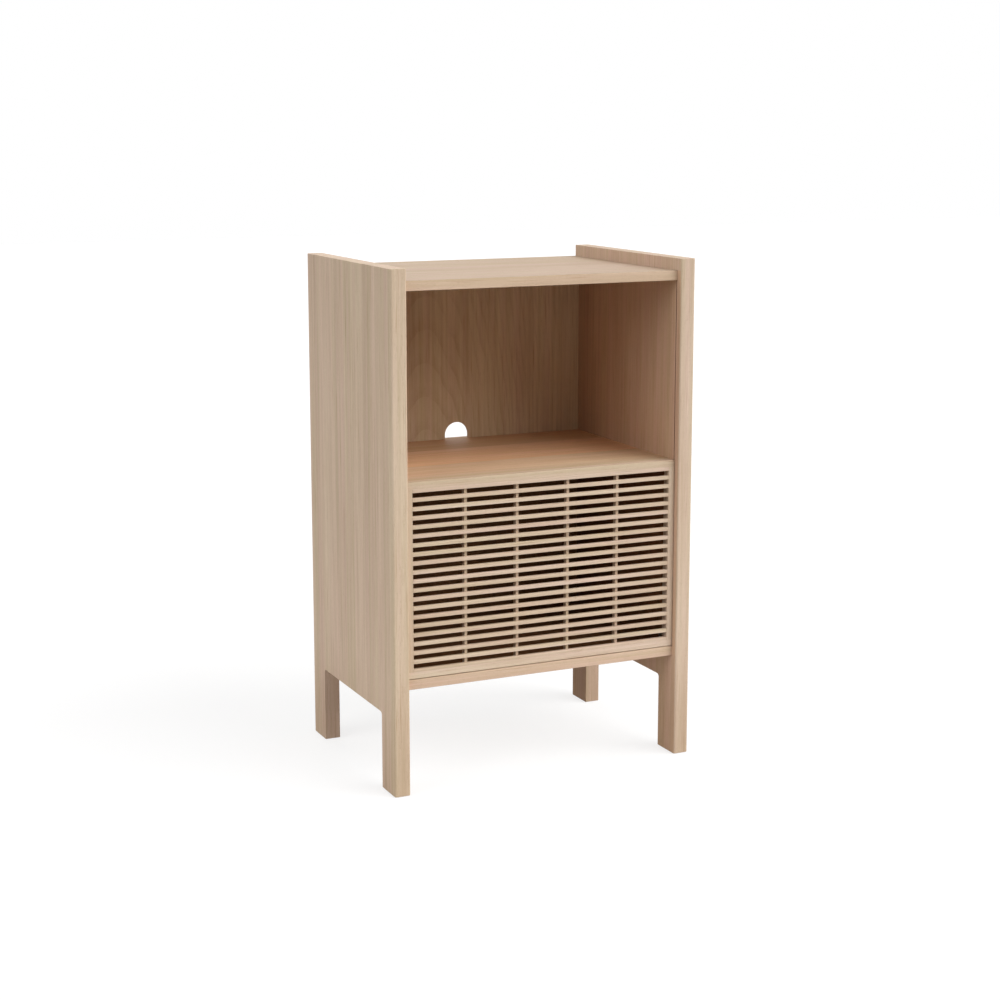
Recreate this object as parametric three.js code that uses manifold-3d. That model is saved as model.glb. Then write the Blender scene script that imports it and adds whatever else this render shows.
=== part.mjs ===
// Record cabinet in pale oak: two side panels that run down into four legs, a sunk top for a
// record player, an open compartment and, below it, a compartment behind a slatted drop flap.
// Millimetres. X is the width, Y the depth with the front at -Y, Z the height above the floor.
// The origin is on the floor under the middle of the cabinet.

import * as THREE from "three";
import { mergeVertices } from "three/addons/utils/BufferGeometryUtils.js";
import Module from "manifold-3d";

const wasm = await Module();
wasm.setup();

// Overall size
const WIDTH = 600;
const DEPTH = 424;
const HEIGHT = 941;

// Side panels with the legs
const PANEL_T = 30;
const PANEL_EDGE_R = 4;
const PANEL_EASE = 0.8;
const PANEL_CORNER_R = 1.2;
const LEG_DEPTH = 62;
const LEG_HEIGHT = 142;
const LEG_ARCH_R = 6;
const UPSTAND = 22;
const INNER_LINE_FROM_FRONT = 14.8;
const INNER_LINE_W = 1.2;

// Top board, shelf and bottom board
const BOARD_T = 18;
const BOARD_RECESS = 12;
const BOARD_EASE = 1;
const SHELF_EASE = 0.3;
const SHELF_TOP = 567;
const BOTTOM_CLEAR = 192;

// Back panels, held in grooves
const BACK_T = 6;
const BACK_INSET = 12;
const BACK_GROOVE = 6;
const BACK_PLAY = 0.5;
const CABLE_HOLE_R = 25;
const CABLE_HOLE_STRAIGHT = 7.8;

// Dowels that join the boards to the side panels
const DOWEL_R = 4;
const DOWEL_IN_PANEL = 18;
const DOWEL_IN_BOARD = 20;
const DOWEL_INSET = 82;

// Glides under the legs
const GLIDE_R = 9;
const GLIDE_T = 5;
const GLIDE_SHOW = 1;

// Slatted flap
const FLAP_T = 18;
const FLAP_SIDE_GAP = 1;
const FLAP_BOTTOM_GAP = 1;
const FLAP_REST_GAP = 0.3;
const FLAP_EASE = 0.8;
const HEEL_R = 2;
const RAIL_H = 12.5;
const STILE_W = 11.5;
const BORDER_BOTTOM_H = 5.5;
const BORDER_TOP_H = 6.9;
const SLAT_COUNT = 19;
const SLAT_H = 6.9;
const SLAT_EASE = 0.6;
const BAR_COUNT = 4;
const BAR_W = 5.5;
const BAR_D = 10.5;

// Pivot hinges in the lower corners of the flap
const LEAF_T = 2.5;
const LEAF_L = 50;
const LEAF_EDGE = 3;
const LEAF_COVER_FRONT = 1.5;
const LEAF_COVER_BELOW = 3;
const PIN_R = 1.5;
const PIN_CLEAR = 0.1;
const STOP_R = 7;
const STOP_CLEAR = 0.2;

// Magnets that hold the flap shut
const MAGNET_R = 4;
const MAGNET_L = 6;

// Clearance round a piece that is let into wood
const FIT = 0.3;

// Sides of the polygons that stand for round parts
const ROUND_SIDES = 24;
const DOWEL_SIDES = 12;
const EDGE_STEPS = 3;

// Planes that several pieces share
const innerX = WIDTH / 2 - PANEL_T;
const panelFront = -DEPTH / 2;
const panelRear = DEPTH / 2;
const boardFront = panelFront + BOARD_RECESS;
const topBoardTop = HEIGHT - UPSTAND;
const topBoardUnder = topBoardTop - BOARD_T;
const shelfUnder = SHELF_TOP - BOARD_T;
const bottomBoardTop = BOTTOM_CLEAR + BOARD_T;
const backRear = panelRear - BACK_INSET;
const backFront = backRear - BACK_T;

// The flap, closed
const flapHalfWidth = innerX - FLAP_SIDE_GAP;
const flapBottom = bottomBoardTop + FLAP_BOTTOM_GAP;
const flapHeight = SHELF_TOP - flapBottom;
const shelfFront = boardFront + FLAP_T + FLAP_REST_GAP;
const openingHalf = flapHalfWidth - STILE_W;
const pivotBack = LEAF_EDGE + LEAF_COVER_FRONT;
const pivotUp = LEAF_EDGE + LEAF_COVER_BELOW;
const pivotY = boardFront + pivotBack;
const pivotZ = flapBottom + pivotUp;
const magnetZ = SHELF_TOP - RAIL_H / 2;

// Places inside the flap, measured from the pivot
const flapFront = -pivotBack;
const flapRear = FLAP_T - pivotBack;
const barFront = flapRear - BAR_D;
const flapLow = -pivotUp;
const flapHigh = flapHeight - pivotUp;
const stileLow = flapLow + RAIL_H;
const stileHigh = flapHigh - RAIL_H;
const latticeLow = stileLow + BORDER_BOTTOM_H;
const latticeHigh = stileHigh - BORDER_TOP_H;
const slotH = (latticeHigh - latticeLow - SLAT_COUNT * SLAT_H) / (SLAT_COUNT + 1);
const barPitch = (2 * openingHalf - BAR_W) / (BAR_COUNT + 1);

const oakPanel = new THREE.MeshStandardMaterial({ color: 0xb8a28c, roughness: 0.62, metalness: 0 });
const oakBoard = new THREE.MeshStandardMaterial({ color: 0xcfb99e, roughness: 0.6, metalness: 0 });
const oakSlat = new THREE.MeshStandardMaterial({ color: 0xd4bba2, roughness: 0.6, metalness: 0 });
const oakBack = new THREE.MeshStandardMaterial({ color: 0xb59a7c, roughness: 0.66, metalness: 0 });
const beech = new THREE.MeshStandardMaterial({ color: 0xd6b98c, roughness: 0.7, metalness: 0 });
const steel = new THREE.MeshStandardMaterial({ color: 0xb9bcbf, roughness: 0.35, metalness: 1 });
const nickel = new THREE.MeshStandardMaterial({ color: 0xc9c9c6, roughness: 0.22, metalness: 1 });
const nylon = new THREE.MeshStandardMaterial({ color: 0x8b7a68, roughness: 0.6, metalness: 0 });

// Turns an extrusion of a (y, z) outline so that it runs along X, and starts it at x.
function layAlongX(geometry, x) {
  const toY = new THREE.Vector3(0, 1, 0);
  const toZ = new THREE.Vector3(0, 0, 1);
  const toX = new THREE.Vector3(1, 0, 0);
  geometry.applyMatrix4(new THREE.Matrix4().makeBasis(toY, toZ, toX));
  geometry.translate(x, 0, 0);
  return geometry;
}

// Extrudes a (y, z) outline along X, from x0 to x1.
function alongX(shape, x0, x1, curveSegments = ROUND_SIDES / 4) {
  const options = { depth: x1 - x0, bevelEnabled: false, curveSegments };
  return layAlongX(new THREE.ExtrudeGeometry(shape, options), x0);
}

// Extrudes an (x, z) outline along Y, from y0 to y1.
function alongY(shape, y0, y1, curveSegments = ROUND_SIDES / 2) {
  const options = { depth: y1 - y0, bevelEnabled: false, curveSegments };
  const geometry = new THREE.ExtrudeGeometry(shape, options);
  geometry.rotateX(Math.PI / 2);
  geometry.translate(0, y1, 0);
  return geometry;
}

// A box between two corners.
function boxBetween(x0, x1, y0, y1, z0, z1) {
  const geometry = new THREE.BoxGeometry(x1 - x0, y1 - y0, z1 - z0);
  geometry.translate((x0 + x1) / 2, (y0 + y1) / 2, (z0 + z1) / 2);
  return geometry;
}

// A round rod along X, Y or Z, starting at a point.
function rod(axis, radius, start, length, sides = ROUND_SIDES) {
  const geometry = new THREE.CylinderGeometry(radius, radius, length, sides);
  if (axis === "x") geometry.rotateZ(-Math.PI / 2);
  if (axis === "z") geometry.rotateX(Math.PI / 2);
  const half = { x: [length / 2, 0, 0], y: [0, length / 2, 0], z: [0, 0, length / 2] }[axis];
  geometry.translate(start[0] + half[0], start[1] + half[1], start[2] + half[2]);
  return geometry;
}

// Turns a closed geometry into a solid for cutting and joining.
function toSolid(geometry) {
  const bare = geometry.clone();
  bare.deleteAttribute("normal");
  bare.deleteAttribute("uv");
  const merged = mergeVertices(bare, 1e-4);
  return new wasm.Manifold(
    new wasm.Mesh({
      numProp: 3,
      vertProperties: new Float32Array(merged.attributes.position.array),
      triVerts: new Uint32Array(merged.index.array),
    }),
  );
}

function fromSolid(solid) {
  const mesh = solid.getMesh();
  const geometry = new THREE.BufferGeometry();
  geometry.setAttribute("position", new THREE.BufferAttribute(new Float32Array(mesh.vertProperties), 3));
  geometry.setIndex(new THREE.BufferAttribute(new Uint32Array(mesh.triVerts), 1));
  geometry.computeVertexNormals();
  return geometry;
}

function cut(geometry, tools) {
  let solid = toSolid(geometry);
  for (const tool of tools) solid = solid.subtract(toSolid(tool));
  return fromSolid(solid);
}

// What two closed geometries have in common.
function common(first, second) {
  return fromSolid(toSolid(first).intersect(toSolid(second)));
}

function join(geometry, additions) {
  let solid = toSolid(geometry);
  for (const addition of additions) solid = solid.add(toSolid(addition));
  return fromSolid(solid);
}

function named(name, geometry, material, position = [0, 0, 0]) {
  const mesh = new THREE.Mesh(geometry, material);
  mesh.name = name;
  mesh.position.set(...position);
  return mesh;
}

// A rectangle from (a0, b0) to (a1, b1) whose four corners are rounded.
function roundedRectangle(a0, a1, b0, b1, radius) {
  const shape = new THREE.Shape();
  shape.moveTo(a0 + radius, b0);
  shape.lineTo(a1 - radius, b0);
  shape.absarc(a1 - radius, b0 + radius, radius, -Math.PI / 2, 0, false);
  shape.lineTo(a1, b1 - radius);
  shape.absarc(a1 - radius, b1 - radius, radius, 0, Math.PI / 2, false);
  shape.lineTo(a0 + radius, b1);
  shape.absarc(a0 + radius, b1 - radius, radius, Math.PI / 2, Math.PI, false);
  shape.lineTo(a0, b0 + radius);
  shape.absarc(a0 + radius, b0 + radius, radius, Math.PI, Math.PI * 1.5, false);
  return shape;
}

// Side view of a side panel: a tall board with a low arch cut out between its two legs.
function sidePanelOutline() {
  const corner = PANEL_CORNER_R;
  const archFront = panelFront + LEG_DEPTH;
  const archRear = panelRear - LEG_DEPTH;
  const shape = new THREE.Shape();
  shape.moveTo(panelFront + corner, GLIDE_SHOW);
  shape.lineTo(archFront - corner, GLIDE_SHOW);
  shape.absarc(archFront - corner, GLIDE_SHOW + corner, corner, -Math.PI / 2, 0, false);
  shape.lineTo(archFront, LEG_HEIGHT - LEG_ARCH_R);
  shape.absarc(archFront + LEG_ARCH_R, LEG_HEIGHT - LEG_ARCH_R, LEG_ARCH_R, Math.PI, Math.PI / 2, true);
  shape.lineTo(archRear - LEG_ARCH_R, LEG_HEIGHT);
  shape.absarc(archRear - LEG_ARCH_R, LEG_HEIGHT - LEG_ARCH_R, LEG_ARCH_R, Math.PI / 2, 0, true);
  shape.lineTo(archRear, GLIDE_SHOW + corner);
  shape.absarc(archRear + corner, GLIDE_SHOW + corner, corner, Math.PI, Math.PI * 1.5, false);
  shape.lineTo(panelRear - corner, GLIDE_SHOW);
  shape.absarc(panelRear - corner, GLIDE_SHOW + corner, corner, -Math.PI / 2, 0, false);
  shape.lineTo(panelRear, HEIGHT - corner);
  shape.absarc(panelRear - corner, HEIGHT - corner, corner, 0, Math.PI / 2, false);
  shape.lineTo(panelFront + corner, HEIGHT);
  shape.absarc(panelFront + corner, HEIGHT - corner, corner, Math.PI / 2, Math.PI, false);
  shape.lineTo(panelFront, GLIDE_SHOW + corner);
  shape.absarc(panelFront + corner, GLIDE_SHOW + corner, corner, Math.PI, Math.PI * 1.5, false);
  return shape;
}

// Plan view of a side panel: its four upright edges are well rounded.
function sidePanelPlan(side) {
  const inner = side * innerX;
  const outer = (side * WIDTH) / 2;
  const [left, right] = [Math.min(inner, outer), Math.max(inner, outer)];
  return roundedRectangle(left, right, panelFront, panelRear, PANEL_EDGE_R);
}

// The blank of a side panel: what its side view and its plan view have in common, with the
// edges of the top, the feet and the arch lightly eased.
function sidePanelBlank(side) {
  const seenFromSide = new THREE.ExtrudeGeometry(sidePanelOutline(), {
    depth: PANEL_T - 2 * PANEL_EASE,
    bevelEnabled: true,
    bevelThickness: PANEL_EASE,
    bevelSize: PANEL_EASE,
    bevelOffset: -PANEL_EASE,
    bevelSegments: 1,
    curveSegments: EDGE_STEPS,
  });
  const leftFace = side > 0 ? innerX : -WIDTH / 2;
  layAlongX(seenFromSide, leftFace + PANEL_EASE);
  const options = { depth: HEIGHT, bevelEnabled: false, curveSegments: EDGE_STEPS };
  const seenFromAbove = new THREE.ExtrudeGeometry(sidePanelPlan(side), options);
  return common(seenFromSide, seenFromAbove);
}

// A range along X that starts at the panel's inner face and goes outwards, on either side.
function outwards(side, from, to) {
  return side > 0 ? [innerX + from, innerX + to] : [-innerX - to, -innerX - from];
}

const boardCentres = {
  top: topBoardTop - BOARD_T / 2,
  shelf: SHELF_TOP - BOARD_T / 2,
  bottom: bottomBoardTop - BOARD_T / 2,
};
const dowelPlaces = { front: panelFront + DOWEL_INSET, rear: panelRear - DOWEL_INSET };
const glidePlaces = {
  front: panelFront + LEG_DEPTH / 2,
  rear: panelRear - LEG_DEPTH / 2,
};

// The hole that a dowel stands in, through the joint between board and side panel.
function dowelHole(side, y, z) {
  const from = innerX - DOWEL_IN_BOARD;
  const length = DOWEL_IN_BOARD + DOWEL_IN_PANEL;
  const x = side > 0 ? from : -from - length;
  return rod("x", DOWEL_R + FIT, [x, y, z], length, DOWEL_SIDES);
}

function sidePanel(side) {
  const tools = [];
  for (const z of Object.values(boardCentres)) {
    for (const y of Object.values(dowelPlaces)) tools.push(dowelHole(side, y, z));
  }
  const groove = outwards(side, -FIT, BACK_GROOVE);
  tools.push(boxBetween(...groove, backFront, backRear, SHELF_TOP, topBoardUnder));
  tools.push(boxBetween(...groove, backFront, backRear, bottomBoardTop, shelfUnder));
  const line = outwards(side, -FIT, INNER_LINE_W);
  const lineFront = panelFront + INNER_LINE_FROM_FRONT;
  tools.push(boxBetween(...line, lineFront, lineFront + INNER_LINE_W, SHELF_TOP, topBoardUnder));
  const recess = alongX(leafOutline("side", FIT), ...outwards(side, -FIT, LEAF_T));
  recess.translate(0, pivotY, pivotZ);
  tools.push(recess);
  const middle = side * (WIDTH / 2 - PANEL_T / 2);
  for (const y of Object.values(glidePlaces)) {
    tools.push(rod("z", GLIDE_R + FIT, [middle, y, 0], GLIDE_T));
  }
  return cut(sidePanelBlank(side), tools);
}

// Section of a board: its front edge is eased, its rear edge square.
function boardSection(front, low, ease) {
  const shape = new THREE.Shape();
  shape.moveTo(panelRear, low);
  shape.lineTo(panelRear, low + BOARD_T);
  shape.lineTo(front + ease, low + BOARD_T);
  shape.lineTo(front, low + BOARD_T - ease);
  shape.lineTo(front, low + ease);
  shape.lineTo(front + ease, low);
  return shape;
}

function board(name, front, ease) {
  const centre = boardCentres[name];
  const blank = alongX(boardSection(front, centre - BOARD_T / 2, ease), -innerX, innerX);
  const tools = [];
  for (const side of [-1, 1]) {
    for (const y of Object.values(dowelPlaces)) tools.push(dowelHole(side, y, centre));
  }
  if (name === "shelf") tools.push(magnetHole(front, 1));
  return cut(blank, tools);
}

// A hole for a magnet, drilled from a face at y; direction 1 goes to the rear, -1 to the front.
function magnetHole(y, direction) {
  const start = direction > 0 ? y : y - MAGNET_L;
  return rod("y", MAGNET_R + FIT, [0, start, magnetZ], MAGNET_L);
}

function magnet() {
  return rod("y", MAGNET_R, [0, 0, 0], MAGNET_L);
}

// The upper back panel stands on the shelf and has a half-round cable hole in its lower edge.
function upperBackPanel() {
  const half = innerX + BACK_GROOVE - BACK_PLAY;
  const shape = new THREE.Shape();
  shape.moveTo(-half, 0);
  shape.lineTo(-CABLE_HOLE_R, 0);
  shape.lineTo(-CABLE_HOLE_R, CABLE_HOLE_STRAIGHT);
  shape.absarc(0, CABLE_HOLE_STRAIGHT, CABLE_HOLE_R, Math.PI, 0, true);
  shape.lineTo(CABLE_HOLE_R, 0);
  shape.lineTo(half, 0);
  shape.lineTo(half, topBoardUnder - SHELF_TOP);
  shape.lineTo(-half, topBoardUnder - SHELF_TOP);
  return alongY(shape, 0, BACK_T);
}

function lowerBackPanel() {
  const half = innerX + BACK_GROOVE - BACK_PLAY;
  return boxBetween(-half, half, 0, BACK_T, 0, shelfUnder - bottomBoardTop);
}

// Outline of a hinge leaf, from the pivot at (0, 0). The flap's leaf runs up, the side's runs back.
function leafOutline(kind, margin = 0) {
  const short = STOP_R + PIN_R + LEAF_EDGE + margin;
  const long = LEAF_L - LEAF_EDGE + margin;
  const low = -LEAF_EDGE - margin;
  const [y1, z1] = kind === "flap" ? [short, long] : [long, short];
  return roundedRectangle(low, y1, low, z1, LEAF_EDGE + margin);
}

function pivotHole() {
  const hole = new THREE.Path();
  hole.absarc(0, 0, PIN_R + PIN_CLEAR, 0, Math.PI * 2, false);
  return hole;
}

// The quarter-round slot in the flap's leaf. The stop pin stands at its top when the flap is shut
// and at its rear end when the flap lies open.
function stopSlot() {
  const half = PIN_R + STOP_CLEAR;
  const slot = new THREE.Path();
  slot.moveTo(0, STOP_R + half);
  slot.absarc(0, 0, STOP_R + half, Math.PI / 2, 0, true);
  slot.absarc(STOP_R, 0, half, 0, -Math.PI, true);
  slot.absarc(0, 0, STOP_R - half, 0, Math.PI / 2, false);
  slot.absarc(0, STOP_R, half, -Math.PI / 2, Math.PI / 2, true);
  return slot;
}

function flapLeaf() {
  const outline = leafOutline("flap");
  outline.holes.push(pivotHole(), stopSlot());
  return alongX(outline, 0, LEAF_T);
}

// The side's leaf carries the stop pin, which reaches through the flap's leaf.
function sideLeaf(side) {
  const outline = leafOutline("side");
  outline.holes.push(pivotHole());
  const [x0, x1] = side > 0 ? [0, LEAF_T] : [-LEAF_T, 0];
  const reach = FLAP_SIDE_GAP + LEAF_T - FIT;
  const start = side > 0 ? -reach : -LEAF_T / 2;
  const stop = rod("x", PIN_R, [start, 0, STOP_R], reach + LEAF_T / 2);
  return join(alongX(outline, x0, x1), [stop]);
}

// Recesses for the leaf in the outer ends of the flap, from the end face inwards.
function leafRecess(side) {
  const start = side > 0 ? flapHalfWidth - LEAF_T : -flapHalfWidth - FIT;
  return alongX(leafOutline("flap", FIT), start, start + LEAF_T + FIT);
}

// The bottom rail's heel is rounded, so that it clears the bottom board when the flap drops.
function bottomRail() {
  const section = new THREE.Shape();
  section.moveTo(flapRear, flapLow);
  section.lineTo(flapRear, stileLow);
  section.lineTo(flapFront, stileLow);
  section.lineTo(flapFront, flapLow + HEEL_R);
  section.absarc(flapFront + HEEL_R, flapLow + HEEL_R, HEEL_R, Math.PI, Math.PI * 1.5, false);
  const blank = alongX(section, -flapHalfWidth, flapHalfWidth, EDGE_STEPS);
  return cut(blank, [leafRecess(-1), leafRecess(1)]);
}

function topRail() {
  const section = new THREE.Shape();
  section.moveTo(flapRear, stileHigh);
  section.lineTo(flapRear, flapHigh);
  section.lineTo(flapFront + FLAP_EASE, flapHigh);
  section.absarc(flapFront + FLAP_EASE, flapHigh - FLAP_EASE, FLAP_EASE, Math.PI / 2, Math.PI, false);
  section.lineTo(flapFront, stileHigh);
  const blank = alongX(section, -flapHalfWidth, flapHalfWidth, EDGE_STEPS);
  const hole = magnetHole(flapRear, -1);
  hole.translate(0, 0, -pivotZ);
  return cut(blank, [hole]);
}

function stile(side) {
  const [x0, x1] = side > 0 ? [openingHalf, flapHalfWidth] : [-flapHalfWidth, -openingHalf];
  const blank = boxBetween(x0, x1, flapFront, flapRear, stileLow, stileHigh);
  return cut(blank, [leafRecess(side)]);
}

// Middle of each upright bar of the lattice.
const barPlaces = Array.from({ length: BAR_COUNT }, (_, i) => (i - (BAR_COUNT - 1) / 2) * barPitch);

// A slat runs from stile to stile in front of the bars. Its two front arrises are eased.
function slat(height) {
  const shape = new THREE.Shape();
  shape.moveTo(barFront, 0);
  shape.lineTo(barFront, height);
  shape.lineTo(flapFront + SLAT_EASE, height);
  shape.lineTo(flapFront, height - SLAT_EASE);
  shape.lineTo(flapFront, SLAT_EASE);
  shape.lineTo(flapFront + SLAT_EASE, 0);
  return alongX(shape, -openingHalf, openingHalf);
}

function latticeBar() {
  return boxBetween(-BAR_W / 2, BAR_W / 2, barFront, flapRear, stileLow, stileHigh);
}

function carcass() {
  const group = new THREE.Group();
  group.name = "carcass";
  group.add(named("side_panel_left", sidePanel(-1), oakPanel));
  group.add(named("side_panel_right", sidePanel(1), oakPanel));
  group.add(named("top_board", board("top", boardFront, BOARD_EASE), oakBoard));
  group.add(named("shelf", board("shelf", shelfFront, SHELF_EASE), oakBoard));
  group.add(named("bottom_board", board("bottom", boardFront, BOARD_EASE), oakBoard));
  group.add(named("upper_back_panel", upperBackPanel(), oakBack, [0, backFront, SHELF_TOP]));
  group.add(named("lower_back_panel", lowerBackPanel(), oakBack, [0, backFront, bottomBoardTop]));
  return group;
}

function dowels() {
  const group = new THREE.Group();
  const length = DOWEL_IN_PANEL + DOWEL_IN_BOARD;
  for (const [boardName, z] of Object.entries(boardCentres)) {
    for (const [sideName, side] of [["left", -1], ["right", 1]]) {
      for (const [placeName, y] of Object.entries(dowelPlaces)) {
        const from = innerX - DOWEL_IN_BOARD;
        const x = side > 0 ? from : -from - length;
        const geometry = rod("x", DOWEL_R, [0, 0, 0], length, DOWEL_SIDES);
        group.add(named(`dowel_${boardName}_${sideName}_${placeName}`, geometry, beech, [x, y, z]));
      }
    }
  }
  return group;
}

function glides() {
  const group = new THREE.Group();
  for (const [sideName, side] of [["left", -1], ["right", 1]]) {
    for (const [placeName, y] of Object.entries(glidePlaces)) {
      const x = side * (WIDTH / 2 - PANEL_T / 2);
      const disc = rod("z", GLIDE_R, [0, 0, 0], GLIDE_T);
      group.add(named(`glide_${sideName}_${placeName}`, disc, nylon, [x, y, 0]));
    }
  }
  return group;
}

// Hinge pieces that stay with the cabinet.
function hingeSides() {
  const group = new THREE.Group();
  const pinLength = 2 * LEAF_T + FLAP_SIDE_GAP - FIT;
  for (const [sideName, side] of [["left", -1], ["right", 1]]) {
    const pinStart = side > 0 ? innerX + LEAF_T - pinLength : -innerX - LEAF_T;
    const pin = rod("x", PIN_R, [0, 0, 0], pinLength);
    group.add(named(`hinge_leaf_side_${sideName}`, sideLeaf(side), steel, [side * innerX, pivotY, pivotZ]));
    group.add(named(`hinge_pin_${sideName}`, pin, steel, [pinStart, pivotY, pivotZ]));
  }
  return group;
}

// The flap hangs in its own group, whose origin is on the hinge axis.
function flap() {
  const group = new THREE.Group();
  group.name = "flap";
  group.position.set(0, pivotY, pivotZ);
  group.add(named("flap_bottom_rail", bottomRail(), oakSlat));
  group.add(named("flap_top_rail", topRail(), oakSlat));
  group.add(named("flap_stile_left", stile(-1), oakSlat));
  group.add(named("flap_stile_right", stile(1), oakSlat));
  group.add(named("flap_border_bottom", slat(BORDER_BOTTOM_H), oakSlat, [0, 0, stileLow]));
  group.add(named("flap_border_top", slat(BORDER_TOP_H), oakSlat, [0, 0, latticeHigh]));
  for (let i = 0; i < SLAT_COUNT; i += 1) {
    const z = latticeLow + slotH + i * (slotH + SLAT_H);
    group.add(named(`slat_${String(i + 1).padStart(2, "0")}`, slat(SLAT_H), oakSlat, [0, 0, z]));
  }
  barPlaces.forEach((x, i) => {
    group.add(named(`lattice_bar_${i + 1}`, latticeBar(), oakSlat, [x, 0, 0]));
  });
  for (const [sideName, side] of [["left", -1], ["right", 1]]) {
    const x = side > 0 ? flapHalfWidth - LEAF_T : -flapHalfWidth;
    group.add(named(`hinge_leaf_flap_${sideName}`, flapLeaf(), steel, [x, 0, 0]));
  }
  group.add(named("flap_magnet", magnet(), nickel, [0, flapRear - MAGNET_L, magnetZ - pivotZ]));
  return group;
}

const cabinet = new THREE.Group();
cabinet.name = "record_cabinet";
cabinet.add(carcass());
cabinet.add(dowels());
cabinet.add(glides());
cabinet.add(hingeSides());
cabinet.add(named("shelf_magnet", magnet(), nickel, [0, shelfFront, magnetZ]));
cabinet.add(flap());

export default cabinet;
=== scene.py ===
"""Record cabinet in pale oak, finished round its construction.

Shapes are in metres and finishes in millimetres. X is the width, Y the depth with the front
at -Y, Z the height above the floor.
"""

import math

import bpy
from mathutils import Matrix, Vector


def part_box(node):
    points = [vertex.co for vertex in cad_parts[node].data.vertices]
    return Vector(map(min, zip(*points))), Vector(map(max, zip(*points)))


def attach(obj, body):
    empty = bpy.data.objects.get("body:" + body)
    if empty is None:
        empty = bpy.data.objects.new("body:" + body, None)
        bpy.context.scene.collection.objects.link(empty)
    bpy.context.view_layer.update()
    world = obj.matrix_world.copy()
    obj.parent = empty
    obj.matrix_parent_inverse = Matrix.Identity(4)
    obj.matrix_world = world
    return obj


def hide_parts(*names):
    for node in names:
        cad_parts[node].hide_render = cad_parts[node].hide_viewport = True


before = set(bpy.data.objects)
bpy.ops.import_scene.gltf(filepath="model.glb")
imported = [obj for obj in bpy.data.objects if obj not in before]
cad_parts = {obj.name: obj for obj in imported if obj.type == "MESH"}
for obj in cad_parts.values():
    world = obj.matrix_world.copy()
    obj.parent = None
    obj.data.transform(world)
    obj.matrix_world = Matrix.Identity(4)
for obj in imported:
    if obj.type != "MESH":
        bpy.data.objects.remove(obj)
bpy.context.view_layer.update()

MM = 0.001

# Which way each side faces
OUTWARDS = {"left": -1, "right": 1}

# Side panels and their legs
PANEL_EDGE = 4 * MM
PANEL_EASE = 0.8 * MM
LEG_DEPTH = 62 * MM
LEG_HEIGHT = 142 * MM
LEG_ARCH = 6 * MM
INNER_LINE_FROM_FRONT = 14.8 * MM
INNER_LINE = 1.2 * MM
INNER_LINE_DEEP = 5 * MM
BACK_GROOVE = 6 * MM

# Boards, back panels and the cable hole
BOARD_EDGE = 1.0 * MM
SHELF_EDGE = 0.3 * MM
BACK_EDGE = 0.4 * MM
CABLE_HOLE = 25 * MM
CABLE_HOLE_STRAIGHT = 7.8 * MM

# Slatted flap
FRAME_EDGE = 0.3 * MM
HEEL = 2.0 * MM
TOP_EDGE = 0.8 * MM
SLAT_EDGE = 0.7 * MM
BAR_EDGE = 0.5 * MM
SLAT_COUNT = 19
BAR_COUNT = 4

# Fittings
FIT = 0.3 * MM
RECESS_CORNER = 3.3 * MM
RIM = 0.4 * MM
NAIL_HEAD = 2.4 * MM
NAIL_SUNK = 0.5 * MM
SCREW_HEAD = 2.8 * MM
SCREW_STANDS = 0.25 * MM
SCREW_PLACES = (18 * MM, 39 * MM)
CROSS_LENGTH = 3.2 * MM
CROSS_WIDTH = 0.7 * MM

# Camera: seen from the front left, a little above the cabinet
CAMERA_PLACE = (-1.5181, -3.2654, 1.1998)
CAMERA_TILT = 0.172
CAMERA_TURN = 0.4363
CAMERA_LENS = 69.544
CAMERA_SHIFT = -0.05

# Lamps: direction round the cabinet (0 is the front, 90 the right), height in degrees and level
LAMPS = {
    "key lamp": (40, 38, 2.4),
    "left lamp": (-80, 28, 1.32),
    "right lamp": (72, 15, 1.0),
    "rear lamp": (180, 20, 0.6),
}
SOFTNESS = math.radians(50)

# Room and floor: their levels, and how far from the middle the floor throws light back, in millimetres
ROOM_LEVEL = 0.26
FLOOR_SIZE = 30
FLOOR_SEEN = 0.75
FLOOR_SHADE = 0.25
FLOOR_BOUNCE = 0.52
FLOOR_REACH = (1900, 2900)

# Patterns in the oak: length along the grain, width across it, detail and roughness
GRAIN = {
    "waver": (260, 45, 2.0, 0.5),
    "ripple": (60, 14, 2.0, 0.5),
    "clear": (420, 32, 1.0, 0.5),
    "fibre": (45, 0.9, 3.0, 0.6),
    "streak": (320, 6.5, 2.0, 0.5),
    "cloud": (300, 40, 1.0, 0.5),
    "blush": (900, 24, 1.0, 0.5),
    "fleck": (16, 3.5, 1.0, 0.5),
    "stain": (110, 2.6, 1.0, 0.5),
    "pore": (7.5, 0.32, 1.0, 0.5),
}

# The heart of the tree: how far to the side of a board and how deep under it, and how uneven
HEART_ASIDE = 170
HEART_UNDER = 22
HEART_DEEPER = 40
HEART_WAVER = 34
HEART_RIPPLE = 3.5

# Tones of the oak from dark to light, written as in a paint chart
OAK_TONES = {
    "side": ("b9a591", "cdb9a4", "deceba"),
    "board": ("c2ab91", "d2bca4", "e0cdb7"),
    "shelf": ("d6ad8c", "e4bc9d", "eeccb0"),
    "back": ("ab967a", "c5ad91", "dbc8a8"),
    "flap": ("c5b19a", "d3c0ab", "e1d3c1"),
}

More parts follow.
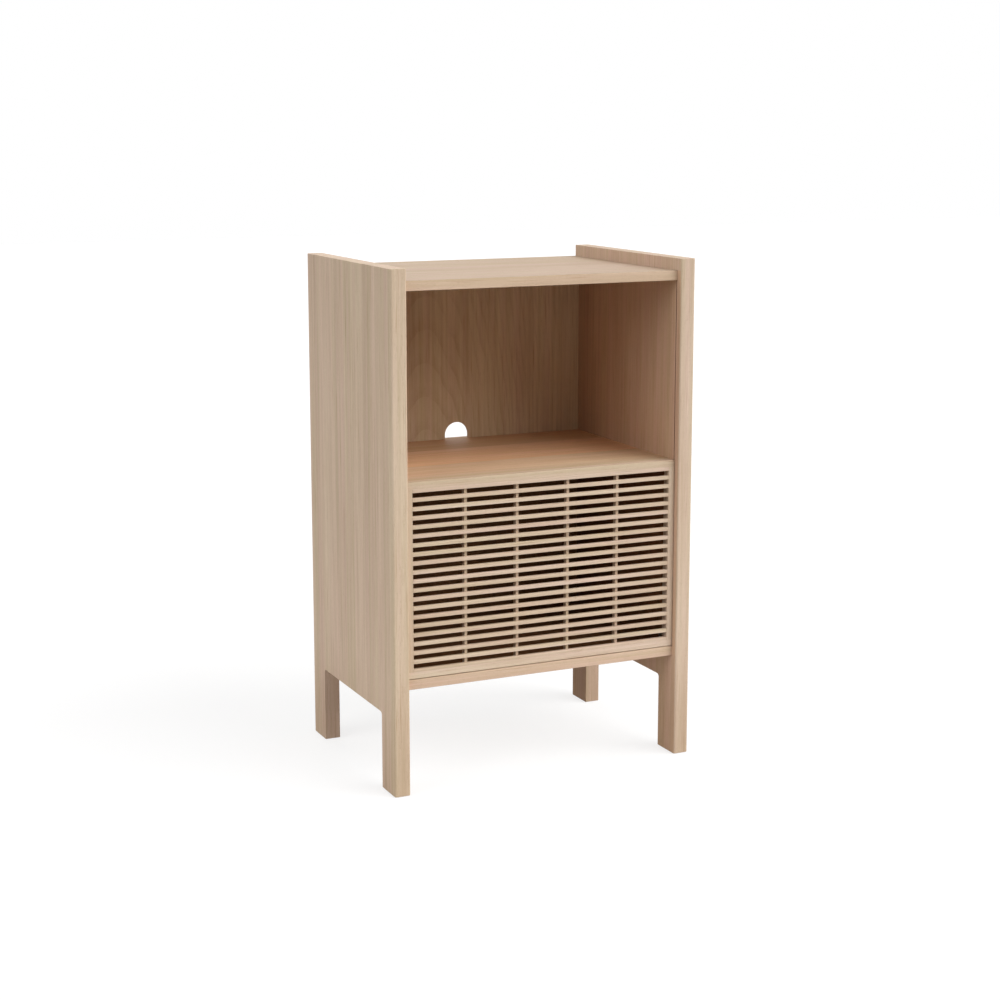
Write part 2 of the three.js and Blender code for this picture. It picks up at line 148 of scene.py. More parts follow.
# Colours washed over the oak. Each darkens it in its own hue. Several of them are painted light and shade,
# noted above each.
WASHES = {
    "olive": "fbf8ed",
    "rosy": "fff5f4",
    "brown streak": "c8a68c",
    # painted shade on the walls inside the closed compartment behind the slats
    "closed inside": "b49475",
    # painted reddish bounce light on the inner faces of the sides, strongest inside the cabinet, milder
    # above the top board
    "side inside": "f6e9e1",
    "side inside, above": "f6f0ef",
    # painted shade, darker towards the rear of the inner faces
    "side inside, rear": "e6e2e0",
    # painted shadow in the groove on the inner faces of the sides and close beside it
    "inner line": "4a3c30",
    # painted shade on the sides towards the floor, over the legs
    "legs": "f0ece8",
    # painted shade on the upper face of the top board
    "top board": "e4e4e5",
    "shelf edges": "e3f6ff",
    "shelf front": "f3ffff",
    "shelf brim": "eff4f6",
    "shelf middle": "fffcf3",
    # painted shade towards the rear of the shelf
    "shelf rear": "e6e5da",
    # painted shade on the left of the back panels
    "back left": "f1f0f0",
}
PORE = "8f7257"

# Where washes begin, fade or end, in millimetres, and how deep the skin of a board goes
SKIN = 0.4
INSIDE_FROM_SHELF_FRONT = 0.7
LINE_HALO = 0.3
SIDE_REAR_SHADE_Y = (90, 200)
LEG_SHADE_Z = (20, 220)
SHELF_BRIM_Y = (-175, -135)
SHELF_MIDDLE_Y = (-60.5, 60)
SHELF_REAR_SHADE_Y = (78, 92)
BACK_LEFT_SHADE_X = (-120, -20)

# Where in the tree boards come from: how far apart the two sides are, and how deep the boards lie
OTHER_SIDE = 1300
BOARD_LEVEL = 900


class Value:
    """A number or colour on its way through a finish, so that maths on it reads as a sum."""

    def __init__(self, nodes, socket):
        self.nodes = nodes
        self.socket = socket

    def maths(self, operation, *others):
        sockets = dict(enumerate((self, *others)))
        return self.nodes.add("ShaderNodeMath", {"operation": operation}, sockets)

    def __add__(self, other):
        return self.maths("ADD", other)

    def __sub__(self, other):
        return self.maths("SUBTRACT", other)

    def __mul__(self, other):
        return self.maths("MULTIPLY", other)

    def __truediv__(self, other):
        return self.maths("DIVIDE", other)

    def __pow__(self, other):
        return self.maths("POWER", other)

    def __rsub__(self, other):
        return self.nodes.add("ShaderNodeMath", {"operation": "SUBTRACT"}, {0: other, 1: self})

    __radd__ = __add__
    __rmul__ = __mul__


class Nodes:
    """The node tree of a finish or of the room round the cabinet."""

    def __init__(self, tree):
        self.tree = tree

    def add(self, kind, settings, sockets, out=0):
        """A node of this kind, with its settings made first and its sockets fed after."""
        node = self.tree.nodes.new(kind)
        for setting, value in settings.items():
            if setting == "stops":
                self.place_stops(node.color_ramp.elements, value)
            else:
                setattr(node, setting, value)
        for key, value in sockets.items():
            socket = node.inputs[key] if isinstance(key, int) else self.in_use(node, key)
            self.feed(socket, value)
        return Value(self, node.outputs[out])

    def place_stops(self, stops, wanted):
        """A ramp comes with two stops, so those in between are added before all are set in order."""
        for place, tone in wanted[1:-1]:
            stops.new(place)
        for stop, (place, tone) in zip(stops, wanted):
            stop.position = place
            stop.color = (*tone, 1)

    def in_use(self, node, name):
        """The socket of that name that the node's settings leave in use."""
        return next(socket for socket in node.inputs if socket.name == name and socket.enabled)

    def feed(self, socket, value):
        if isinstance(value, Value):
            self.tree.links.new(value.socket, socket)
        elif isinstance(value, tuple) and socket.type == "RGBA":
            socket.default_value = (*value, 1)
        else:
            socket.default_value = value

    def seen(self):
        """1 where the camera looks, straight or by way of metal, and 0 where light bounces."""
        ways = ("Camera", "Glossy", "Transmission")
        rays = [self.add("ShaderNodeLightPath", {}, {}, f"Is {way} Ray") for way in ways]
        return (rays[0] + rays[1] + rays[2]).maths("MINIMUM", 1.0)


class Finish(Nodes):
    """One material, made node by node."""

    def __init__(self, name, sockets):
        self.material = bpy.data.materials.new(name)
        self.material.use_nodes = True
        super().__init__(self.material.node_tree)
        self.shader = self.tree.nodes["Principled BSDF"]
        for socket, value in sockets.items():
            self.paint(socket, value)

    def paint(self, socket, value):
        self.feed(self.shader.inputs[socket], value)

    def place(self):
        """Where a point is, as three numbers in millimetres."""
        where = self.add("ShaderNodeTexCoord", {}, {}, "Object")
        parts = [self.add("ShaderNodeSeparateXYZ", {}, {"Vector": where}, axis) for axis in "XYZ"]
        return [part * (1 / MM) for part in parts]

    def vector(self, x, y, z):
        return self.add("ShaderNodeCombineXYZ", {}, {"X": x, "Y": y, "Z": z})

    def noise(self, vector, detail=2.0, roughness=0.5):
        """A soft random pattern about one unit across, from -0.5 to 0.5."""
        sockets = {"Vector": vector, "Scale": 1.0, "Detail": detail, "Roughness": roughness}
        return self.add("ShaderNodeTexNoise", {}, sockets) - 0.5

    def smooth(self, value, low, high):
        """0 below low, 1 above high and a soft step between."""
        sockets = {"Value": value, "From Min": low, "From Max": high}
        return self.add("ShaderNodeMapRange", {"interpolation_type": "SMOOTHSTEP"}, sockets)

    def within(self, value, low, high, soft=0.2):
        """1 between low and high and 0 beyond them."""
        past_low = self.smooth(value, low - soft, low + soft)
        past_high = self.smooth(value, high - soft, high + soft)
        return past_low * (1 - past_high)

    def luck(self, place, randomness):
        """Three random shares that change from board to board, one board to a unit of place."""
        sockets = {"W": place, "Scale": 1.0, "Randomness": randomness}
        chance = self.add("ShaderNodeTexVoronoi", {"voronoi_dimensions": "1D"}, sockets, "Color")
        return [self.add("ShaderNodeSeparateColor", {}, {"Color": chance}, part) for part in range(3)]

    def blend(self, share, first, second, kind="MIX"):
        settings = {"data_type": "RGBA", "blend_type": kind}
        sockets = {"Factor": share, "A": first, "B": second}
        return self.add("ShaderNodeMix", settings, sockets, "Result")

    def wash(self, share, body, name):
        """A colour with a share of one of the washes over it."""
        return self.blend(share, body, colour(WASHES[name]), "MULTIPLY")

    def ramp(self, share, stops):
        return self.add("ShaderNodeValToRGB", {"stops": stops}, {"Fac": share})

    def bump(self, height, strength, distance):
        sockets = {"Height": height, "Strength": strength, "Distance": distance}
        self.paint("Normal", self.add("ShaderNodeBump", {}, sockets))


def colour(code):
    """A colour written as in a paint chart, such as "c9b59c", as the shader's three numbers."""
    parts = [int(code[i:i + 2], 16) / 255 for i in (0, 2, 4)]
    return tuple(p / 12.92 if p <= 0.04045 else ((p + 0.055) / 1.055) ** 2.4 for p in parts)


def corners(node):
    """The low and the high corner of a node, in millimetres."""
    low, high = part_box(node)
    return low / MM, high / MM


def growth_rings(finish, point, luck, grain, ring, lean):
    """1 in the pale wood of each ring and 0 in its dark wood, round the heart of the tree."""
    along, across, through = point
    aside = (luck[0] - 0.5) * HEART_ASIDE
    sideways = across + aside + grain["waver"] * HEART_WAVER + grain["ripple"] * HEART_RIPPLE
    leaning = along * ((luck[2] - 0.5) * 2 * lean)
    deep = through + HEART_UNDER + luck[1] * HEART_DEEPER + leaning
    radius = (sideways ** 2 + deep ** 2) ** 0.5
    season = (radius / ring).maths("FRACT")
    return 1 - finish.smooth(season, 0.0, 0.55)


def oak(name, cut, board, tones, washes,
        seed=0.0, randomness=0.75, ring=3.4, lean=0.07, figure=0.16, depth=1.0):
    """Pale oak in boards glued side by side, each with its own tone and its own growth rings.

    cut takes the place of a point and gives how far it is along the grain, across the board and
    through it. washes gives the shares of further colours there. board is the usual width of one
    board, seed picks the boards and randomness makes them unequal. ring is the distance from ring
    to ring, lean how much the tree's heart leans away along the board, figure how clear the rings
    are and depth how strong the streaks are.
    """
    finish = Finish(name, {"Specular IOR Level": 0.15})
    place = finish.place()
    along, across, through = cut(*place)
    luck = finish.luck(across / board + seed, randomness)
    grain = {}
    for pattern, (length, width, detail, roughness) in GRAIN.items():
        vector = finish.vector(along / length, across / width, through / width)
        grain[pattern] = finish.noise(vector, detail, roughness)
    early = growth_rings(finish, (along, across, through), luck, grain, ring, lean)
    clear = finish.smooth(grain["clear"], -0.2, 0.2)
    pore = finish.smooth(grain["pore"], 0.1, 0.2) * (0.35 + early * 0.65)

    tone = (grain["streak"] * 0.8 + grain["cloud"] * 0.45) * depth + grain["fibre"] * 0.45
    tone = tone + grain["fleck"] * 0.16 + (luck[2] - 0.5) * 0.24 - (early - 0.5) * clear * figure
    body = finish.ramp(0.5 + tone, [(i / 2, colour(code)) for i, code in enumerate(tones)])
    rosy = luck[1] * 0.5 + grain["blush"] * 2.4 + grain["streak"] * 1.2 + 0.25
    hue = finish.blend(rosy, colour(WASHES["olive"]), colour(WASHES["rosy"]))
    body = finish.blend(1.0, body, hue, "MULTIPLY")
    body = finish.wash(finish.smooth(grain["stain"], 0.1, 0.34) * (0.55 * depth), body, "brown streak")
    for share, wash in washes(finish, *place):
        body = finish.wash(share, body, wash)
    finish.paint("Base Color", finish.blend(pore * 0.45, body, colour(PORE)))
    finish.paint("Roughness", 0.58 + pore * 0.2 + grain["fibre"] * 0.12)
    finish.bump(grain["fibre"] * 0.5 - pore, 0.35, 0.12 * MM)
    return finish.material


def painted_inside_shade(finish, x, y, z):
    """1 on the walls of the closed compartment, which get painted shade."""
    side = corners("side_panel_right")[0].x + SKIN
    front = corners("shelf")[0].y + INSIDE_FROM_SHELF_FRONT
    back = corners("lower_back_panel")[0].y + SKIN
    bottom = corners("bottom_board")[1].z - SKIN
    top = corners("shelf")[0].z + SKIN
    return finish.within(x, -side, side) * finish.within(y, front, back) * finish.within(z, bottom, top)


def upper_face(finish, z, node):
    """1 on the upper face of a board and 0 from its rounded edges down."""
    top = corners(node)[1].z
    return finish.smooth(z, top - 1.5 * SKIN, top - 0.5 * SKIN)


def painted_groove_shade(finish, wide, y, z):
    """1 in the line let into the inner faces of the sides and close beside it, for painted shadow."""
    face = corners("side_panel_right")[0].x
    front = corners("side_panel_right")[0].y + INNER_LINE_FROM_FRONT / MM
    across = finish.within(y, front - LINE_HALO, front + INNER_LINE / MM + LINE_HALO, 0.1)
    deep = finish.within(wide, face - 0.2, face + 1 + INNER_LINE_DEEP / MM, 0.1)
    return across * deep * finish.within(z, corners("shelf")[1].z, corners("top_board")[0].z)


def side_washes(finish, x, y, z):
    """Painted reddish bounce light on the inner faces, strongest inside the cabinet, and painted shade
    towards their rear, in the groove, on the legs and inside the closed compartment.
    """
    wide = x.maths("ABSOLUTE")
    face = corners("side_panel_right")[0].x
    top = corners("top_board")[1].z
    inner = 1 - finish.smooth(wide, face + SKIN, face + 3 * SKIN)
    above = finish.smooth(z, top - 1, top + 0.5)
    return [
        (inner * (1 - above), "side inside"),
        (inner * above, "side inside, above"),
        (inner * (1 - above) * finish.smooth(y, *SIDE_REAR_SHADE_Y), "side inside, rear"),
        (painted_groove_shade(finish, wide, y, z), "inner line"),
        (1 - finish.smooth(z, *LEG_SHADE_Z), "legs"),
        (painted_inside_shade(finish, x, y, z), "closed inside"),
    ]


def board_washes(finish, x, y, z):
    """The upper face of the top board gets painted shade, and the boards painted shade inside the closed
    compartment.
    """
    return [
        (upper_face(finish, z, "top_board"), "top board"),
        (painted_inside_shade(finish, x, y, z), "closed inside"),
    ]


def shelf_washes(finish, x, y, z):
    """Three boards: pale in front and redder in the middle, with painted shade at the rear and inside."""
    upper = upper_face(finish, z, "shelf")
    joint, middle_end = SHELF_MIDDLE_Y
    return [
        (1 - upper, "shelf edges"),
        (upper * (1 - finish.smooth(y, joint - 0.5, joint + 0.5)), "shelf front"),
        (upper * (1 - finish.smooth(y, *SHELF_BRIM_Y)), "shelf brim"),
        (upper * finish.within(y, joint, middle_end, 0.5), "shelf middle"),
        (upper * finish.smooth(y, *SHELF_REAR_SHADE_Y), "shelf rear"),
        (painted_inside_shade(finish, x, y, z), "closed inside"),
    ]


def back_washes(finish, x, y, z):
    """Painted shade on the left of the back panels and inside the closed compartment."""
    return [
        (1 - finish.smooth(x, *BACK_LEFT_SHADE_X), "back left"),
        (painted_inside_shade(finish, x, y, z), "closed inside"),
    ]


def no_washes(finish, x, y, z):
    return []


def side_cut(x, y, z):
    """Both sides are cut alike, but from boards of their own."""
    right = x.maths("GREATER_THAN", 0.0)
    return z, y + right * OTHER_SIDE, x.maths("ABSOLUTE") - corners("side_panel_right")[0].x


def board_cut(x, y, z):
    return x, y, z - BOARD_LEVEL


def shelf_cut(x, y, z):
    return x, y, corners("shelf")[1].z - z


def back_cut(x, y, z):
    return z, x, y - corners("upper_back_panel")[0].y


def rail_cut(x, y, z):
    return x, z, y - corners("flap_top_rail")[0].y


def slat_cut(x, y, z):
    """Each slat is a board of its own, because a board is as wide as the slats are apart."""
    low, high = corners("slat_01")
    return x, z - (low.z + high.z) / 2, y - low.y


def stile_cut(x, y, z):
    return z, x, y - corners("flap_top_rail")[0].y


def plain(name, code, roughness, metallic=0.0, grit=0.05):
    """A plain material whose tone and sheen vary a little from place to place."""
    finish = Finish(name, {"Metallic": metallic})
    x, y, z = finish.place()
    speck = finish.noise(finish.vector(x / 0.8, y / 0.8, z / 0.8), 3.0)
    dark = colour(code)
    light = tuple(min(1.0, part * 1.25) for part in dark)
    finish.paint("Base Color", finish.ramp(speck + 0.5, [(0.3, dark), (0.7, light)]))
    finish.paint("Roughness", roughness + speck * 0.2)
    finish.bump(speck, grit, 0.05 * MM)
    return finish.material


def brushed(name, code):
    """Sheet steel with fine lines along Z."""
    finish = Finish(name, {"Metallic": 1.0})
    x, y, z = finish.place()
    line = finish.noise(finish.vector(x / 0.2, y / 0.15, z / 12))
    dark = colour(code)
    light = tuple(min(1.0, part * 1.3) for part in dark)
    finish.paint("Base Color", finish.ramp(line + 0.5, [(0.3, dark), (0.7, light)]))
    finish.paint("Roughness", 0.36 + line * 0.2)
    finish.bump(line, 0.1, 0.02 * MM)
    return finish.material


def activate(piece):
    bpy.ops.object.select_all(action="DESELECT")
    piece.select_set(True)
    bpy.context.view_layer.objects.active = piece


def settle(name):
    """Names the new primitive and puts its place into its mesh."""
    piece = bpy.context.object
    piece.name = name
    piece.data.name = name
    bpy.ops.object.transform_apply(location=True, rotation=True, scale=True)
    return piece


def block(name, low, high):
    """A new block between two corners."""
    low, high = Vector(low), Vector(high)
    bpy.ops.object.select_all(action="DESELECT")
    bpy.ops.mesh.primitive_cube_add(size=1, location=(low + high) / 2, scale=high - low)
    return settle(name)


def disc(name, centre, radius, depth, way, sides=48):
    """A new disc round a centre, whose axis lies along way."""
    turn = Vector(way).to_track_quat("Z", "Y").to_euler()
    bpy.ops.object.select_all(action="DESELECT")
    bpy.ops.mesh.primitive_cylinder_add(
        vertices=sides, radius=radius, depth=depth, location=centre, rotation=turn
    )
    return settle(name)


def select_faces(piece, wanted):
    """Opens edit mode with those faces selected whose middle and normal pass the test."""
    activate(piece)
    bpy.context.tool_settings.mesh_select_mode = (False, False, True)
    for part in (*piece.data.vertices, *piece.data.edges):
        part.select = False
    for face in piece.data.polygons:
        face.select = wanted(face.center, face.normal)
    bpy.ops.object.mode_set(mode="EDIT")


def select_edges(piece, wanted):
    """Opens edit mode with those edges selected whose middle and direction pass the test."""
    activate(piece)
    bpy.context.tool_settings.mesh_select_mode = (False, True, False)
    for part in (*piece.data.vertices, *piece.data.polygons):
        part.select = False
    for edge in piece.data.edges:
        a, b = (piece.data.vertices[i].co for i in edge.vertices)
        edge.select = wanted((a + b) / 2, (b - a).normalized())
    bpy.ops.object.mode_set(mode="EDIT")


def leave_edit():
    bpy.ops.object.mode_set(mode="OBJECT")


def use_modifier(piece, kind, **settings):
    """Adds a modifier, sets it up and applies it."""
    activate(piece)
    modifier = piece.modifiers.new(kind.lower(), kind)
    for setting, value in settings.items():
        setattr(modifier, setting, value)
    bpy.ops.object.modifier_apply(modifier=modifier.name)


def round_chosen(piece, wanted, radius, steps):
    """Rounds those edges whose middle and direction pass the test."""
    select_edges(piece, wanted)
    bpy.ops.mesh.bevel(offset=radius, segments=steps, affect="EDGES")
    leave_edit()


def round_edges(piece, radius, steps):
    """Rounds every edge that is sharper than 40 degrees."""
    limit = math.radians(40)
    use_modifier(piece, "BEVEL", width=radius, segments=steps, limit_method="ANGLE", angle_limit=limit)


def carve(piece, cutter):
    """Cuts one solid out of another and throws the cutter away."""
    use_modifier(piece, "BOOLEAN", operation="DIFFERENCE", object=cutter, solver="EXACT")
    bpy.data.objects.remove(cutter)


def shade(piece):
    """Shades the rounded edges smooth and keeps the broad faces flat."""
    activate(piece)
    bpy.ops.object.shade_smooth_by_angle(angle=math.radians(35))
    use_modifier(piece, "WEIGHTED_NORMAL", keep_sharp=True)


def hand_over(piece, body, material, slot, *nodes):
    """Gives a piece its finish, ties it to its body and lets it stand for its nodes."""
    shade(piece)
    piece.data.materials.clear()
    piece.data.materials.append(material)
    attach(piece, body)
    if nodes:
        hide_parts(*nodes)
    return piece


def copy_piece(piece, name, move):
    """A copy with its own mesh, moved from where the piece is."""
    activate(piece)
    bpy.ops.object.duplicate()
    twin = bpy.context.object
    twin.name = name
    twin.data.name = name
    twin.location = move
    bpy.ops.object.transform_apply(location=True, rotation=False, scale=False)
    return twin


def recess_cutter(leaf):
    """A cutter for the recess of a hinge leaf, open towards the gap between flap and side."""
    low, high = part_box(leaf)
    gap = Vector((0, FIT, FIT))
    cutter = block("cutter", low - gap, high + gap)
    round_chosen(cutter, lambda middle, way: abs(way.x) > 0.9, RECESS_CORNER, 4)
    return cutter


def panel_blank(name, low, high):
    """A block with two legs drawn down from it. Its upright edges are well rounded, the rest eased."""
    leg_inner = high.y - LEG_DEPTH
    panel = block(name, (low.x, low.y, LEG_HEIGHT), high)
    for y in (-leg_inner, leg_inner):
        select_faces(panel, lambda middle, normal: True)
        bpy.ops.mesh.bisect(plane_co=(0, y, 0), plane_no=(0, 1, 0))
        leave_edit()
    select_faces(panel, lambda middle, normal: normal.z < -0.9 and abs(middle.y) > leg_inner)
    bpy.ops.mesh.extrude_region_move(TRANSFORM_OT_translate={"value": (0, 0, low.z - LEG_HEIGHT)})
    bpy.ops.mesh.select_all(action="SELECT")
    bpy.ops.mesh.dissolve_limited(angle_limit=math.radians(1))
    leave_edit()

    def is_arch_corner(middle, way):
        at_leg = abs(abs(middle.y) - leg_inner) < MM
        return abs(way.x) > 0.9 and at_leg and abs(middle.z - LEG_HEIGHT) < MM

    def is_upright_corner(middle, way):
        return abs(way.z) > 0.9 and abs(middle.y) > high.y - MM

    round_chosen(panel, is_arch_corner, LEG_ARCH, 8)
    round_chosen(panel, is_upright_corner, PANEL_EDGE, 6)
    round_edges(panel, PANEL_EASE, 3)
    return panel


def side_panel(side, material):
    """One side with its legs, its grooves and the places for its fittings."""
    node = f"side_panel_{side}"
    low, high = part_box(node)
    panel = panel_blank(f"{side}_side", low, high)
    outwards = OUTWARDS[side]
    inner = high.x if side == "left" else low.x
    for back in ("upper_back_panel", "lower_back_panel"):
        back_low, back_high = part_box(back)
        back_low.x, back_high.x = sorted((inner - outwards * FIT, inner + outwards * BACK_GROOVE))
        carve(panel, block("cutter", back_low, back_high))
    shelf_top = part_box("shelf")[1].z
    top_board_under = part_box("top_board")[0].z
    front = low.y + INNER_LINE_FROM_FRONT
    x = sorted((inner - outwards * FIT, inner + outwards * INNER_LINE_DEEP))
    carve(panel, block("cutter", (x[0], front, shelf_top), (x[1], front + INNER_LINE, top_board_under)))
    carve(panel, recess_cutter(f"hinge_leaf_side_{side}"))
    for place in ("front", "rear"):
        glide_low, glide_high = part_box(f"glide_{side}_{place}")
        radius = (glide_high.x - glide_low.x) / 2 + FIT
        depth = glide_high.z - glide_low.z
        carve(panel, disc("cutter", (glide_low + glide_high) / 2, radius, depth, (0, 0, 1)))
    return hand_over(panel, "cabinet", material, "oak_side", node)


def ease_along_x(piece, radius):
    """Eases the long edges and leaves the ends square, where they meet their neighbours."""
    round_chosen(piece, lambda middle, way: abs(way.x) > 0.9, radius, 3)


def board(node, edge, material):
    piece = block(f"{node}_oak", *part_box(node))
    ease_along_x(piece, edge)
    if node == "shelf":
        carve(piece, magnet_cutter("shelf_magnet"))
    return hand_over(piece, "cabinet", material, "oak_board", node)


def magnet_cutter(node):
    low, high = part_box(node)
    radius = (high.z - low.z) / 2 + FIT
    return disc("cutter", (low + high) / 2, radius, high.y - low.y + 0.02 * MM, (0, 1, 0))


def back_panels(material):
    """The two thin back panels. The upper one has the cable hole, an arch that stands on the shelf."""
    low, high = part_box("upper_back_panel")
    upper = block("upper_back_oak", low, high)
    spring = low.z + CABLE_HOLE_STRAIGHT
    middle = Vector((0, (low.y + high.y) / 2, spring))
    thick = high.y - low.y + 2 * MM
    carve(upper, disc("cutter", middle, CABLE_HOLE, thick, (0, 1, 0), sides=64))
    foot = Vector((-CABLE_HOLE, low.y - MM, low.z - MM))
    carve(upper, block("cutter", foot, (CABLE_HOLE, high.y + MM, spring)))
    round_edges(upper, BACK_EDGE, 2)
    hand_over(upper, "cabinet", material, "oak_back", "upper_back_panel")
    lower = block("lower_back_oak", *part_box("lower_back_panel"))
    round_edges(lower, BACK_EDGE, 2)
    hand_over(lower, "cabinet", material, "oak_back", "lower_back_panel")


def flap_rails(material):
    """The two rails, each with its outer front edge rounded, the bottom one's most."""
    low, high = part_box("flap_bottom_rail")
    bottom = block("bottom_rail_oak", low, high)
    round_chosen(bottom, lambda middle, way: middle.y < low.y + MM and middle.z < low.z + MM, HEEL, 5)
    round_edges(bottom, FRAME_EDGE, 2)
    for side in OUTWARDS:
        carve(bottom, recess_cutter(f"hinge_leaf_flap_{side}"))
    hand_over(bottom, "flap", material, "oak_flap_frame", "flap_bottom_rail")
    low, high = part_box("flap_top_rail")
    top = block("top_rail_oak", low, high)
    round_chosen(top, lambda middle, way: middle.y < low.y + MM and middle.z > high.z - MM, TOP_EDGE, 3)
    round_edges(top, FRAME_EDGE, 2)
    carve(top, magnet_cutter("flap_magnet"))
    hand_over(top, "flap", material, "oak_flap_frame", "flap_top_rail")


def flap_stiles(material):
    for side in OUTWARDS:
        node = f"flap_stile_{side}"
        piece = block(f"{side}_stile_oak", *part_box(node))
        round_edges(piece, FRAME_EDGE, 2)
        carve(piece, recess_cutter(f"hinge_leaf_flap_{side}"))
        hand_over(piece, "flap", material, "oak_flap_frame", node)


def slats(material):
    """The lowest slat, its copies above it, and the two border slats, which are lower."""
    low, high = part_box("slat_01")
    first = block("slat_oak_01", low, high)
    round_edges(first, SLAT_EDGE, 3)
    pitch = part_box("slat_02")[0].z - low.z
    copies = [copy_piece(first, f"slat_oak_{i + 1:02d}", (0, 0, i * pitch)) for i in range(1, SLAT_COUNT)]
    for i, piece in enumerate([first, *copies]):
        hand_over(piece, "flap", material, "oak_slat", f"slat_{i + 1:02d}")
    for place in ("bottom", "top"):
        node = f"flap_border_{place}"
        piece = block(f"border_{place}_oak", *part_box(node))
        round_edges(piece, SLAT_EDGE, 3)
        hand_over(piece, "flap", material, "oak_slat", node)


def lattice_bars(material):
    for i in range(1, BAR_COUNT + 1):
        node = f"lattice_bar_{i}"
        piece = block(f"bar_oak_{i}", *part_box(node))
        round_edges(piece, BAR_EDGE, 2)
        hand_over(piece, "flap", material, "oak_slat", node)


def glides(material):
    """Discs under the legs, each with a nail sunk in its middle."""
    for side in OUTWARDS:
        for place in ("front", "rear"):
            node = f"glide_{side}_{place}"
            low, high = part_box(node)
            radius = (high.x - low.x) / 2
            piece = disc(f"glide_disc_{side}_{place}", (low + high) / 2, radius, high.z - low.z, (0, 0, 1))
            round_edges(piece, RIM, 3)
            select_faces(piece, lambda middle, normal: normal.z < -0.999)
            bpy.ops.mesh.inset(thickness=radius - RIM - NAIL_HEAD)
            bpy.ops.mesh.extrude_region_move(TRANSFORM_OT_translate={"value": (0, 0, NAIL_SUNK)})
            leave_edit()
            hand_over(piece, "cabinet", material, "glide", node)


def magnets(material):
    for node, body in (("shelf_magnet", "cabinet"), ("flap_magnet", "flap")):
        low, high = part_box(node)
        radius = (high.z - low.z) / 2
        piece = disc(f"{node}_disc", (low + high) / 2, radius, high.y - low.y, (0, 1, 0))
        round_edges(piece, RIM, 3)
        hand_over(piece, body, material, "magnet", node)


def screw(name, centre, way):
    """A flat screw head with a cross, standing a little out of its leaf."""
    half = 2 * SCREW_STANDS
    head = disc(name, centre, SCREW_HEAD, 2 * half, way, sides=32)
    round_edges(head, SCREW_STANDS, 3)
    face = Vector(centre) + Vector(way) * half
    for length, width in ((CROSS_LENGTH, CROSS_WIDTH), (CROSS_WIDTH, CROSS_LENGTH)):
        reach = Vector((half, length / 2, width / 2))
        carve(head, block("cutter", face - reach, face + reach))
    return head


def hinge_screws(material):
    """Two screws in each leaf: along Y in the side's leaf and along Z in the flap's."""
    for side, outwards in OUTWARDS.items():
        low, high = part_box(f"hinge_leaf_side_{side}")
        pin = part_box(f"hinge_pin_{side}")
        axis = (pin[0] + pin[1]) / 2
        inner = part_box("shelf")[1].x * outwards
        for i, reach in enumerate(SCREW_PLACES, 1):
            centre = (inner, axis.y + reach, (low.z + high.z) / 2)
            head = screw(f"side_leaf_screw_{side}_{i}", centre, (-outwards, 0, 0))
            hand_over(head, "cabinet", material, "hinge")
        low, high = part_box(f"hinge_leaf_flap_{side}")
        end = high.x if side == "right" else low.x
        for i, reach in enumerate(SCREW_PLACES, 1):
            centre = (end, (low.y + high.y) / 2, axis.z + reach)
            head = screw(f"flap_leaf_screw_{side}_{i}", centre, (outwards, 0, 0))
            hand_over(head, "flap", material, "hinge")


def finish_frame_nodes(beech, steel):
    """Dowels, hinge leaves and hinge pins keep their shape and get their finish."""
    for node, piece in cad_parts.items():
        if node.startswith("dowel"):
            piece.data.materials.clear()
            piece.data.materials.append(beech)
        if node.startswith("hinge"):
            piece.data.materials.clear()
            piece.data.materials.append(steel)


def camera():
    bpy.ops.object.select_all(action="DESELECT")
    turn = (math.pi / 2 - CAMERA_TILT, 0, -CAMERA_TURN)
    bpy.ops.object.camera_add(location=CAMERA_PLACE, rotation=turn)
    eye = bpy.context.object
    eye.data.lens = CAMERA_LENS
    eye.data.shift_y = CAMERA_SHIFT
    bpy.context.scene.camera = eye


def lamp(name, azimuth, elevation, level):
    """A large soft lamp, so far away that its light is the same all over the cabinet."""
    turn = (math.pi / 2 - math.radians(elevation), 0, math.radians(azimuth))
    bpy.ops.object.light_add(type="SUN", rotation=turn)
    light = bpy.context.object
    light.name = name
    light.data.energy = level
    light.data.angle = SOFTNESS


def room():
    """White surroundings and soft lamps on all sides."""
    scene = bpy.context.scene
    scene.view_settings.view_transform = "Standard"
    scene.world = bpy.data.worlds.new("white room")
    scene.world.use_nodes = True
    nodes = Nodes(scene.world.node_tree)
    background = nodes.tree.nodes["Background"]
    nodes.feed(background.inputs["Color"], (1, 1, 1))
    nodes.feed(background.inputs["Strength"], ROOM_LEVEL + nodes.seen() * (1 - ROOM_LEVEL))
    for name, (azimuth, elevation, level) in LAMPS.items():
        lamp(name, azimuth, elevation, level)


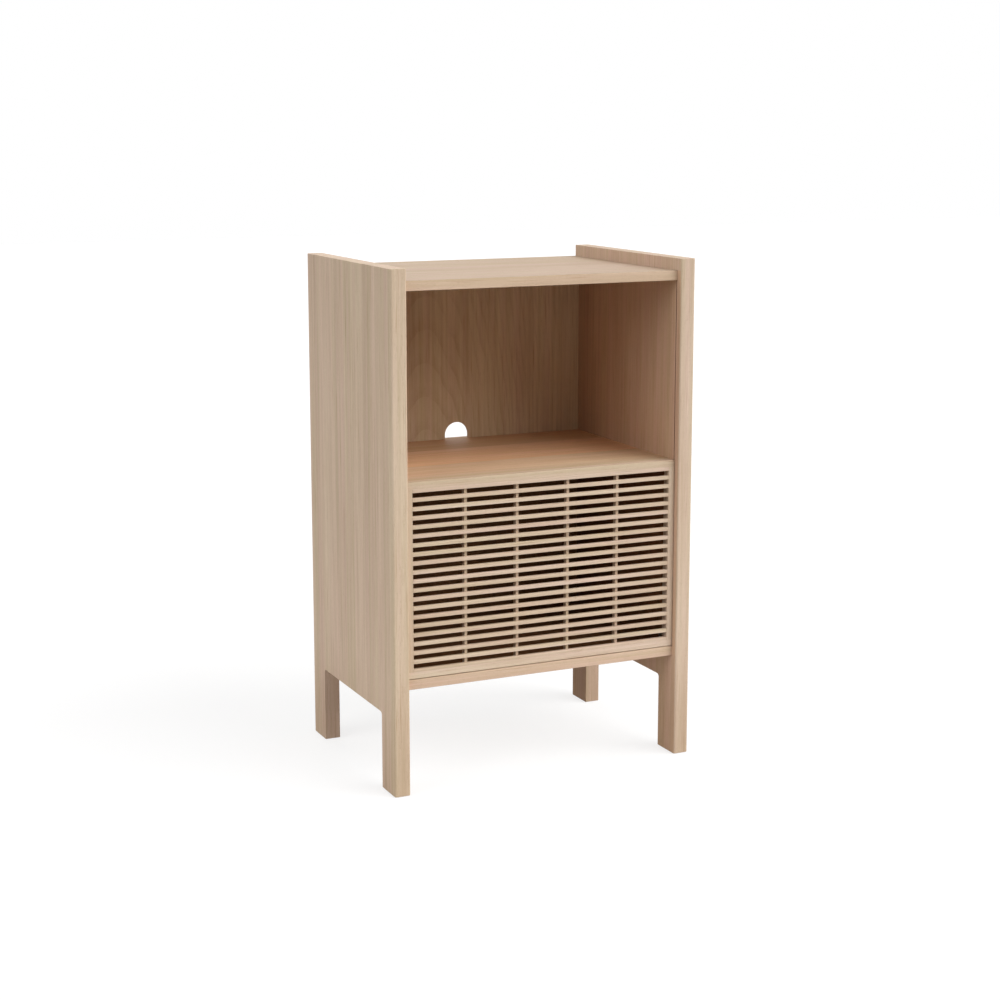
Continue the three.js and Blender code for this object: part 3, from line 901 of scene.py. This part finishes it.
def floor():
    """A pale floor, white to the eye with a soft shadow, which throws light back near the cabinet."""
    bpy.ops.object.select_all(action="DESELECT")
    bpy.ops.mesh.primitive_plane_add(size=FLOOR_SIZE)
    ground = bpy.context.object
    ground.name = "floor"
    finish = Finish("white floor", {"Roughness": 0.9, "Emission Strength": 1.0})
    seen = finish.seen()
    x, y, z = finish.place()
    reach = (x ** 2 + y ** 2) ** 0.5
    bounce = (1 - finish.smooth(reach, *FLOOR_REACH)) * FLOOR_BOUNCE
    finish.paint("Base Color", bounce * (1 - seen) + seen * FLOOR_SHADE)
    finish.paint("Emission Color", seen * FLOOR_SEEN)
    ground.data.materials.append(finish.material)


def finishes():
    """Every material, by name."""
    tones = OAK_TONES
    pitch = corners("slat_02")[0].z - corners("slat_01")[0].z
    bars = corners("lattice_bar_2")[0].x - corners("lattice_bar_1")[0].x
    return {
        "side": oak("oak_side", side_cut, 44, tones["side"], side_washes, seed=0.3, figure=0.09),
        "board": oak("oak_board", board_cut, 90, tones["board"], board_washes, seed=4.1),
        "shelf": oak("oak_shelf", shelf_cut, 110, tones["shelf"], shelf_washes, seed=7.3, depth=1.4),
        "back": oak("oak_back", back_cut, 270, tones["back"], back_washes, seed=2.2, randomness=0.5,
                    ring=9.0, lean=0.14, figure=0.2, depth=1.05),
        "rail": oak("oak_rail", rail_cut, 100, tones["flap"], no_washes, randomness=0.0),
        "slat": oak("oak_slat", slat_cut, pitch, tones["flap"], no_washes, seed=8.0, randomness=0.0),
        "stile": oak("oak_stile", stile_cut, bars, tones["flap"], no_washes, seed=0.5, randomness=0.0),
        "beech": plain("beech", "cdb088", 0.65),
        "nylon": plain("nylon", "8b7a68", 0.5),
        "steel": brushed("zinc_steel", "a9acae"),
        "nickel": plain("nickel", "c9c9c6", 0.22, metallic=1.0, grit=0.02),
    }


camera()
room()
floor()
made = finishes()
for side in OUTWARDS:
    side_panel(side, made["side"])
board("top_board", BOARD_EDGE, made["board"])
board("bottom_board", BOARD_EDGE, made["board"])
board("shelf", SHELF_EDGE, made["shelf"])
back_panels(made["back"])
flap_rails(made["rail"])
flap_stiles(made["stile"])
slats(made["slat"])
lattice_bars(made["stile"])
glides(made["nylon"])
magnets(made["nickel"])
hinge_screws(made["steel"])
finish_frame_nodes(made["beech"], made["steel"])
